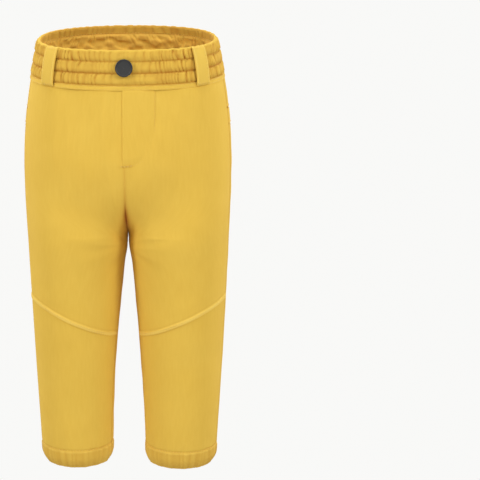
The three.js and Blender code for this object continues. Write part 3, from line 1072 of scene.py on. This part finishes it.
def bandGrid(offset):
    path = bandPath(offset)
    below, base, isInside = (path[:, k][:, None] for k in range(3))
    relief, crease = bandRelief(around[None], below)
    outside = np.where(isInside < 0, smooth((below - band["rollHeight"]) / 2.0 + 0.3), 0.0)
    edgePleats = ringPleats(around[None], 0.0, band["girth"], 1.4 * band["pleatPitch"], 100)
    inPleats = ringPleats(around[None], below, band["girth"], 2.2 * band["pleatPitch"], 173)
    wobble = (1 - outside) * np.where(isInside > 0, -0.22 * (1 + inPleats), 0.30 * edgePleats)
    rollShade = 0.5 * ramp(-base, 1.2, 1.6)
    rise = 0.25 * ringGathers(around, 0.0, band["girth"], 14, 6, 171, terms=10)[None] * (below < 2.0)
    lifted = topRise(turn)[None] * smooth((9.0 - below) / 8.0)
    points = ringPoints(turn[None], half[None], below + rise - lifted, base + relief * outside + wobble)
    # painted shade over the band's inside, less on the pleats' crests, and on the roll's inner half
    crease = crease * outside + (isInside > 0) * (0.42 - 0.22 * inPleats) + (isInside == 0) * rollShade
    return points, crease


outer, crease = bandGrid(0.0)
inner, _ = bandGrid(band["thickness"])
piece = clothPiece("waistbandCloth", outer, inner, mainCloth, isRing=True)
markOn(piece, crease=both(crease))
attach(piece, "hips")
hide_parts("waistband_outer")

facing = {
    "top": 5.6,
    "bottom": 38.5,
    "pucker": 1.5,
}


def facingGrid(offset):
    # slack cloth caught by the stitching at its top: deep short puckers that wander
    rows = np.linspace(facing["top"], facing["bottom"], 44)[:, None]
    inPucker = ramp(rows, 6.4, 3.0) * smooth((facing["bottom"] - 1 - rows) / 4)
    # two sets of lumps, each fading out where its own ends would meet
    girth = band["girth"]
    share = np.sin(math.pi * around) ** 2
    one = ripple(girth * around + 0 * rows, 1.3 * rows, 26, 9, 210, terms=12)
    two = ripple(girth * ((around + 0.5) % 1) + 0 * rows, 1.3 * rows, 26, 9, 211, terms=12)
    waves = ringPleats(around[None], rows, girth, 5.2, 212, uneven=0.35, lean=0.05)
    caught = np.exp(-np.clip(rows - 6.4, 0, None) / 7)
    folds = 1.0 * waves * caught + np.tanh(1.1 * (share * one + (1 - share) * two)) * (1 - 0.7 * caught)
    height = -(band["facingDepth"] + 1.3 * inPucker) - facing["pucker"] * inPucker * folds
    height = np.minimum(height, -3.1)
    points = ringPoints(turn[None], half[None], rows + 0 * around[None], height - offset)
    # painted shade on the facing: darker over the puckers' folds and where it lies flat at its top and bottom
    return points, (0.06 + 0.34 * folds * inPucker + 0.16 * (1 - inPucker))


front, crease = facingGrid(0.0)
hidden, _ = facingGrid(-0.35)
piece = clothPiece("waistbandFacing", hidden, front, innerCloth, isRing=True)
markOn(piece, crease=both(crease))
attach(piece, "hips")
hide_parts("waistband_facing")


def ringLine(below, lift, isInside=False):
    # a closed line round the band, with the directions off the cloth
    columns = 900
    share, turns, halves = ringTurns(columns)
    share, turns, halves = (np.append(a, a[0]) for a in (share, turns, halves))
    level = np.full(columns + 1, float(below))
    points = ringPoints(turns[None], halves[None], level[None], np.full((1, columns + 1), lift))[0]
    z = points[:, 2]
    normal = outward(turns, z)
    normal[:, 0] *= halves
    return points, -normal if isInside else normal


lines = [ringLine(edge, -band["pinch"] - 0.10) for edge in band["edges"][1:3]]
lines.append(ringLine(band["edges"][3] + 0.9, 0.60))
lines.append(ringLine(band["height"] - 1.1, 0.68))
lines.append(ringLine(5.9, -3.75, isInside=True))
piece = threadPiece("waistbandStitching", lines, seamThread)
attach(piece, "hips")
print("waistband made")

# belt loops

loop = {
    "width": 14.0,
    "thickness": 1.3,
    "lift": 2.1,
    "top": 0.3,
    "length": 37.6,
    "frontAngle": 42.5,
    "sideAngle": 40.0,
    "stitchInset": 2.0,
}


def loopGrid(centreTurn, across, shares, height):
    below = loop["top"] + loop["length"] * shares[:, None] + 0 * across[None]
    turnGrid = np.full(below.shape, centreTurn)
    z = stepTo(bandLevel(below), lambda z: turnGrid, -below)
    turnGrid = turnAlong(turnGrid, z, across[None] + 0 * z)
    z = stepTo(bandLevel(below), lambda z: turnGrid, z, steps=8)
    return offSkin(turnGrid, z, height), turnGrid, z


def loopHeight(across, shares):
    # pinned at both ends, proud in the middle, with rolled edges
    edge = loop["width"] / 2 - np.abs(across)
    rolled = 0.75 * (1 - np.sqrt(np.clip(1 - ((0.9 - np.clip(edge, 0, 0.9)) / 0.9) ** 2, 0, 1)))
    pinned = np.clip(np.sin(math.pi * shares), 0, 1) ** 0.45
    ends = 1.0 + 0.9 * ramp(shares, 0.0, 0.05) * smooth((1 - shares) / 0.05)
    return (1.15 + loop["lift"] * pinned)[:, None] * ends[:, None] * 0.62 - rolled[None]


def makeLoop(name, centreTurn, side, node):
    halfWidth = loop["width"] / 2
    across = np.concatenate([
        np.linspace(-halfWidth, -halfWidth + 1, 6)[:-1],
        np.linspace(-halfWidth + 1, halfWidth - 1, 19),
        np.linspace(halfWidth - 1, halfWidth, 6)[1:],
    ])
    shares = np.linspace(0, 1, 64)
    height = loopHeight(across, shares)
    seat, _, _ = loopGrid(centreTurn, across, shares, height)
    top, _, _ = loopGrid(centreTurn, across, shares, height + loop["thickness"])
    piece = clothPiece(name, top, seat, mainCloth, side=side)
    # painted highlight: the whole loop a little paler, and more on its rolled edges
    worn = 0.22 + 0.35 * bump(loop["width"] / 2 - np.abs(across) - 0.8, 1.4)[None] + 0 * shares[:, None]
    markOn(piece, worn=np.concatenate([worn, 0 * worn]))
    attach(piece, "hips")
    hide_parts(node)
    rows = []
    for x in (-halfWidth + loop["stitchInset"], halfWidth - loop["stitchInset"]):
        line = np.array([x])
        lift = loopHeight(line, shares)
        points, turns, z = loopGrid(centreTurn, line, shares, lift + loop["thickness"] + 0.05)
        rows.append((points[:, 0], outward(turns, z)[:, 0]))
    for share in (0.035, 0.06, 0.94, 0.965):
        line = np.linspace(-halfWidth + 1.2, halfWidth - 1.2, 30)
        here = np.array([share])
        lift = loopHeight(line, here)
        points, turns, z = loopGrid(centreTurn, line, here, lift + loop["thickness"] + 0.05)
        rows.append((points[0], outward(turns, z)[0]))
    tacks = threadPiece(name + "Stitching", rows, seamThread, side=side)
    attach(tacks, "hips")


for side, s in sides.items():
    makeLoop(f"beltLoopFront_{side}", -loop["frontAngle"] / 90, s, f"belt_loop_front_{side}")
    makeLoop(f"beltLoopSide_{side}", loop["sideAngle"] / 90, s, f"belt_loop_side_{side}")
makeLoop("beltLoopBack", 1.0, 1, "belt_loop_back")
print("belt loops made")

# button

button = {
    "rim": 1.5,
    "dish": 0.7,
    "crown": 0.35,
    "segments": 72,
}


def spun(name, profile, centre, material, segments):
    # a closed profile of (radius, distance towards -y) carried round the y axis
    profile = np.asarray(profile)
    angles = 2 * math.pi * np.arange(segments) / segments
    radius, forward = profile[:, 0][:, None], profile[:, 1][:, None]
    points = np.stack([
        radius * np.cos(angles)[None],
        -forward + 0 * angles[None],
        radius * np.sin(angles)[None],
    ], axis=-1)
    points = points.reshape(-1, 3) + np.asarray(centre)
    return newPiece(name, points, gridFaces(len(profile), segments, 0, True, True), material)


low, high = (np.array(corner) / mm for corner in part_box("button_cap"))
capCentre = (low + high) / 2
capRadius = (high[0] - low[0]) / 2
capBack, capFront = high[1], low[1]
capDepth = capBack - capFront
rimArc = [
    (capRadius - 0.7 + 0.7 * math.sin(a), capDepth - 0.7 + 0.7 * math.cos(a))
    for a in np.linspace(math.pi, -0.6, 14)
]
floorHeight = capDepth - button["dish"]
profile = [(0.001, 0.0), (3.2, 0.0), (3.2, 1.5), (capRadius - 1.2, 1.5)]
profile += rimArc
profile += [(capRadius - button["rim"], floorHeight + 0.1), (capRadius - button["rim"] - 0.3, floorHeight)]
profile += [(r, floorHeight + button["crown"] * (1 - (r / 6.7) ** 2)) for r in np.linspace(6.3, 0.001, 16)]
piece = spun("buttonCap", profile, (0, capBack, capCentre[2]), buttonMetal, button["segments"])
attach(piece, "hips")
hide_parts("button_cap")
print("button made")

# mock fly

fly = {
    "lap": 2.2,            # how far the left side laps past the centre seam
    "width": 31.0,
    "drop": 125.0,
    "curve": 28.0,
    "lift": 0.95,
}


def flyEnd(x):
    share = np.clip(x / fly["width"], 0, 1)
    return fly["curve"] * (1 - np.sqrt(1 - share ** 2)) - fly["drop"]


def flyPoint(x, share, height):
    # x runs left of the centre seam by arc, and past it for the lap
    start = -60.0 + 0 * x
    turnGrid = turnAlong(-1.0 + 0 * x, start, x)
    z = stepTo(bandLevel(band["height"] - 2.0), lambda z: turnGrid, start, steps=10)
    z = mix(z, flyEnd(np.clip(x, 0, None)), share)
    turnGrid = turnAlong(-1.0 + 0 * z, z, x)
    return offSkin(turnGrid, z, height), turnGrid, z


def hollow(x, z):
    turns = turnAlong(-1.0 + 0 * z, z, x)
    return centreHollow(skin(turns, z), turns, z)


x = np.concatenate([
    np.linspace(-fly["lap"], -fly["lap"] + 1.2, 9)[:-1],
    np.linspace(-fly["lap"] + 1.2, fly["width"] - 2, 44)[:-1],
    np.linspace(fly["width"] - 2, fly["width"] - 0.02, 6),
])
share = np.linspace(0, 1, 90)
xGrid, shareGrid = np.meshgrid(x, share)
_, _, z = flyPoint(xGrid, shareGrid, 0 * xGrid)
fold = 1 - (1 - np.clip((xGrid + fly["lap"]) / 0.9, 0, 1)) ** 2
fromEnd = z - flyEnd(np.clip(xGrid, 0, None))
toSide = fly["width"] - xGrid
settleDown = smooth(np.minimum(toSide / 22, 1)) * smooth(np.clip(fromEnd / 9, 0, 1))
height = fly["lift"] * (0.28 + 0.72 * fold) * (0.10 + 0.90 * settleDown)
height = height - 0.42 * (1 - smooth(toSide / 1.5)) - 0.42 * (1 - smooth(fromEnd / 1.5))
below = outline["waistSlope"] * skin(-1, z)[..., 1] - z
height = height - panel["tuckDepth"] * smooth((band["height"] + 1.0 - below) / panel["tuckHeight"])
height = height + hollow(xGrid, z)
outer, _, _ = flyPoint(xGrid, shareGrid, height)
inner, _, _ = flyPoint(xGrid, shareGrid, height - 0.7)
piece = clothPiece("mockFly", outer, inner, mainCloth)
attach(piece, "hips")

lines = []
share = np.linspace(0.04, 1, 60)
line = np.full(60, fly["width"] - 0.9)
_, _, z = flyPoint(line, share * (1 - 0.02), 0 * line)
lines.append(asLine(*flyPoint(line, share * (1 - 0.02), 0.12 + hollow(line, z))))
curveX = np.linspace(fly["width"] - 0.9, 0.8, 60)
_, _, z = flyPoint(curveX, 0.985 + 0 * curveX, 0 * curveX)
lines.append(asLine(*flyPoint(curveX, 0.985 + 0 * curveX, 0.14 + hollow(curveX, z))))
for offset in (0.0, 0.5, 1.0):
    tackX = np.linspace(-fly["lap"] - 2.0, 9.0, 40)
    tackZ = -fly["drop"] + 0.6 + offset + 0.02 * tackX ** 2
    turns = turnAlong(-1.0 + 0 * tackX, tackZ, tackX)
    lines.append(lineOff(turns, tackZ, 0.85 + hollow(tackX, tackZ)))
piece = threadPiece("mockFlyStitching", lines, seamThread)
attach(piece, "hips")
print("mock fly made")

# back pockets

def weltPoint(across, down, height):
    # across runs from the side, 0, to the inner end, 1; down is in mm below the welt's top edge
    z = -welt["drop"] - down
    for _ in range(12):
        outerTurn = turnAlong(sideTurn(z), z, welt["sideInset"])
        innerTurn = turnAtX(welt["innerX"], z, 1)
        turns = mix(outerTurn, innerTurn, across)
        point = skin(turns, z)
        z = mix(z, weltLevel()(point[..., 0], None) - down, 0.7)
    return offSkin(turns, z, height), turns, z


for side, s in sides.items():
    across = np.linspace(0, 1, 90)[None]
    down = np.concatenate([
        np.linspace(0, 1.0, 7)[:-1],
        np.linspace(1.0, welt["height"] - 1.0, 16)[:-1],
        np.linspace(welt["height"] - 1.0, welt["height"], 7),
    ])[:, None]
    across, down = np.broadcast_arrays(across, down)
    topRoll = 1 - np.sqrt(np.clip(1 - (1 - np.clip(down / 0.8, 0, 1)) ** 2, 0, 1))
    lowRoll = smooth(1 - (welt["height"] - down) / 1.2)
    innerRoll = smooth(1 - (1 - across) * welt["length"] / 1.0)
    sideRoll = smooth(1 - across * welt["length"] / 2.0)
    sag = 0.25 * np.sin(math.pi * across) * smooth(1 - down / 6)
    fromSide = smooth(across * welt["length"] / 16)
    rolls = 0.5 * topRoll + 0.75 * lowRoll + 0.6 * innerRoll + 0.5 * sideRoll
    height = (welt["lift"] + sag) * fromSide - rolls
    outer, _, _ = weltPoint(across, down, height)
    inner, _, _ = weltPoint(across, down, height - 0.8)
    piece = clothPiece(f"pocketWelt_{side}", outer, inner, mainCloth, side=s)
    # painted highlight along the welt's top roll, and painted shade on its lower edge and inner end
    rim = 0.45 * bump(down - 0.6, 1.4) * (1 - 0.5 * innerRoll)
    edgeShade = 0.30 * lowRoll + 0.35 * innerRoll
    markOn(piece, crease=both(edgeShade), worn=both(rim))
    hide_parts(f"pocket_welt_{side}")
    bendAtHip(piece)
    lines = []
    for offset in (-2.8, welt["height"] - 1.6, welt["height"] + 1.6):
        along = np.linspace(0.02, 1.0 if 0 < offset < welt["height"] else 1.02, 90)
        rise = 0.42 if offset < 0 else (0.5 if offset < welt["height"] else 0.08)
        lines.append(asLine(*weltPoint(along, offset + 0 * along, rise + 0 * along)))
    for edge, rise in ((0.975, 0.75), (1.022, 0.10)):
        downs = np.linspace(-2.8 if edge > 1 else 0.8, welt["height"] + (1.6 if edge > 1 else -1.6), 40)
        lines.append(asLine(*weltPoint(edge + 0 * downs, downs, rise + 0 * downs)))
    piece = threadPiece(f"pocketStitching_{side}", lines, seamThread, side=s)
    bendAtHip(piece)

    # the bag hangs inside, from behind the welt
    bagAcross = np.linspace(0.08, 0.93, 50)[None]
    bagDown = np.linspace(3.0, 62.0, 48)[:, None]
    bagAcross, bagDown = np.broadcast_arrays(bagAcross, bagDown)
    loose = 0.5 * ripple(bagAcross * 70, bagDown, 34, 14, 300 + s, terms=8)
    depth = -(3.4 + 0.5 * np.abs(loose))
    outer, _, _ = weltPoint(bagAcross, bagDown, depth)
    inner, _, _ = weltPoint(bagAcross, bagDown, depth - 1.1)
    piece = clothPiece(f"pocketBag_{side}", outer, inner, innerCloth, side=s)
    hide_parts(f"pocket_bag_{side}")
    bendAtHip(piece)
print("pockets made")

# fly facing, seen only through the waist

across = np.linspace(0.5, fly["width"] - 1, 30)
shares = np.linspace(0.02, 0.985, 60)
xGrid, shareGrid = np.meshgrid(across, shares)
facingWave = -0.15 * np.sin(shareGrid * 19)
outer, _, _ = flyPoint(xGrid, shareGrid, -2.0 + facingWave)
inner, _, _ = flyPoint(xGrid, shareGrid, -2.8 + facingWave)
piece = clothPiece("flyFacing", outer, inner, innerCloth)
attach(piece, "hips")
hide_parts("fly_facing")

# seams' and hems' stitching, and the turned hems

def kneeLine(offset, height, steps=160):
    across = np.linspace(0.012, 0.988, steps)
    turnAt = lambda z: mix(*frontTurns(z), across)
    z = settle(kneeLevel(offset), turnAt, (steps,))
    return lineOff(turnAt(z), z, height)


def hemLine(height, steps=300):
    turns = np.linspace(-1, 1, steps)
    return lineOff(turns, np.full(steps, -outline["hemDrop"] + hem["height"]), height)


def hemTurnGrid(offset, columns=150):
    # the turned cloth behind the hem's elastic, from the rolled edge up to the stitching
    turns = np.linspace(-1, 1, columns + 1)[:-1][None]
    z = np.linspace(-outline["hemDrop"] + hem["height"] + 1.5, -outline["hemDrop"] + 0.4, 20)[:, None]
    turns, z = np.broadcast_arrays(turns, z)
    rise = z + outline["hemDrop"]
    waves = ringGathers(turns / 2 + 0.5, rise, 220.0, 14, 6.5, 33, terms=10, drift=0.05)
    depth = mix(hem["roll"] + 0.2, hem["lining"] + 0.5, smooth(rise / 3)) - 0.9 * ramp(rise, 14, 5)
    return offSkin(turns, z, hemCuff(rise) - depth + 0.35 * waves * smooth(rise / 4) - offset)


for side, s in sides.items():
    lines = [kneeLine(-1.0, panel["kneeRidge"] + 0.02), kneeLine(-3.0, panel["kneeRidge"] - 0.02)]
    piece = threadPiece(f"kneeStitching_{side}", lines, seamThread, side=s)
    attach(piece, f"thigh_{side}")
    piece = threadPiece(f"hemStitching_{side}", [hemLine(-0.25)], seamThread, side=s)
    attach(piece, f"shin_{side}")
    outer, inner = hemTurnGrid(0.0), hemTurnGrid(0.7)
    piece = clothPiece(f"hemTurn_{side}", outer, inner, innerCloth, isRing=True, side=s)
    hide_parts(f"hem_turn_{side}")
    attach(piece, f"shin_{side}")
    turns, rise = np.meshgrid(np.linspace(-1, 1, 151)[:-1], np.linspace(17.0, 3.0, 22))
    ribs = 0.12 * np.sin(2 * math.pi * turns * 55)
    z = rise - outline["hemDrop"]
    outer, inner = (offSkin(turns, z, hemCuff(rise) - depth + ribs) for depth in (1.55, 2.35))
    piece = clothPiece(f"hemElastic_{side}", outer, inner, elasticKnit, isRing=True, side=s)
    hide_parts(f"hem_elastic_{side}")
    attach(piece, f"shin_{side}")
print("seams and hems made")

# CAD nodes that stay, out of sight inside the waistband

for name, finish in (("waistband_elastic", elasticKnit), ("button_tack", buttonMetal)):
    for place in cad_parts[name].material_slots:
        place.material = finish

# studio

studio = {
    "cameraDistance": 1.100,
    "azimuth": 3.0,
    "pitch": 10.77,
    "roll": -0.25,
    "focal": 79.9,
    "sensor": 36.0,
    "shift": 0.233,        # the lens shift that stands the object in the left half of the frame
    "floor": -0.95,
    "seen": 0.945,
    "fill": 0.52,
    "keyColour": (0.97, 1.0, 0.98),
    "seenColour": (1.0, 1.0, 0.985, 1.0),
    "fillColour": (1.0, 0.93, 0.84, 1.0),
}

azimuth = math.radians(studio["azimuth"])
distance = studio["cameraDistance"]
place = Vector((distance * math.sin(azimuth), -distance * math.cos(azimuth), 0.0))
cameraData = bpy.data.cameras.new("camera")
cameraData.lens = studio["focal"]
cameraData.sensor_width = studio["sensor"]
cameraData.clip_end = 30
camera = bpy.data.objects.new("camera", cameraData)
camera.location = place
camera.rotation_euler = (math.radians(90 - studio["pitch"]), 0, azimuth)
camera.rotation_euler.rotate_axis("Z", math.radians(studio["roll"]))
cameraData.shift_x = studio["shift"]
bpy.context.scene.collection.objects.link(camera)
bpy.context.scene.camera = camera


def evenGlow(tree, output):
    # the camera sees an even pale ground, and what falls on the cloth from there is dimmer and warmer
    tree.nodes.clear()
    n = Nodes(tree)
    glow = n.add("ShaderNodeBackground" if output == "ShaderNodeOutputWorld" else "ShaderNodeEmission")
    isSeen = n.add("ShaderNodeLightPath").outputs["Is Camera Ray"]
    n.join(n.colours(studio["fillColour"], studio["seenColour"], isSeen), glow.inputs["Color"])
    share = n.math("MULTIPLY", isSeen, studio["seen"] - studio["fill"])
    n.join(n.math("ADD", share, studio["fill"]), glow.inputs["Strength"])
    end = n.add(output)
    n.join(glow.outputs[0], end.inputs["Surface"])


paper = bpy.data.materials.new("palePaper")
paper.use_nodes = True
evenGlow(paper.node_tree, "ShaderNodeOutputMaterial")
floorLine = np.array([(-4.0, studio["floor"]), (4.0, studio["floor"])]) / mm
floorPoints = np.array([(x, y, z) for y, z in floorLine for x in (-4.0 / mm, 4.0 / mm)])
floor = newPiece("floor", floorPoints, np.array([[0, 1, 3, 2]]), paper)


def softLight(name, place, size, power):
    data = bpy.data.lights.new(name, "AREA")
    data.shape = "RECTANGLE"
    data.size, data.size_y = size
    data.energy = power
    data.color = studio["keyColour"]
    lamp = bpy.data.objects.new(name, data)
    lamp.location = place
    lamp.rotation_euler = (Vector((0, 0, -0.2)) - Vector(place)).to_track_quat("-Z", "Y").to_euler()
    bpy.context.scene.collection.objects.link(lamp)


for name, place, size, power in (
    ("frontLeft", (-1.55, -1.15, 0.80), (0.6, 0.6), 16.0),
    ("frontRight", (1.55, -1.15, 0.80), (0.6, 0.6), 16.0),
    ("frontLow", (0.0, -1.70, -0.75), (1.4, 0.8), 7.0),
    ("backLeft", (-1.55, 1.15, 0.80), (0.6, 0.6), 16.0),
    ("backRight", (1.55, 1.15, 0.80), (0.6, 0.6), 16.0),
    ("backLow", (0.0, 1.70, -0.75), (1.4, 0.8), 7.0),
    ("above", (0.0, -0.30, 1.80), (0.9, 0.9), 12.0),
):
    softLight(name, place, size, power)
bpy.context.scene.view_settings.view_transform = "Standard"

world = bpy.data.worlds.new("studioWorld")
world.use_nodes = True
evenGlow(world.node_tree, "ShaderNodeOutputWorld")
bpy.context.scene.world = world
print("studio ready")
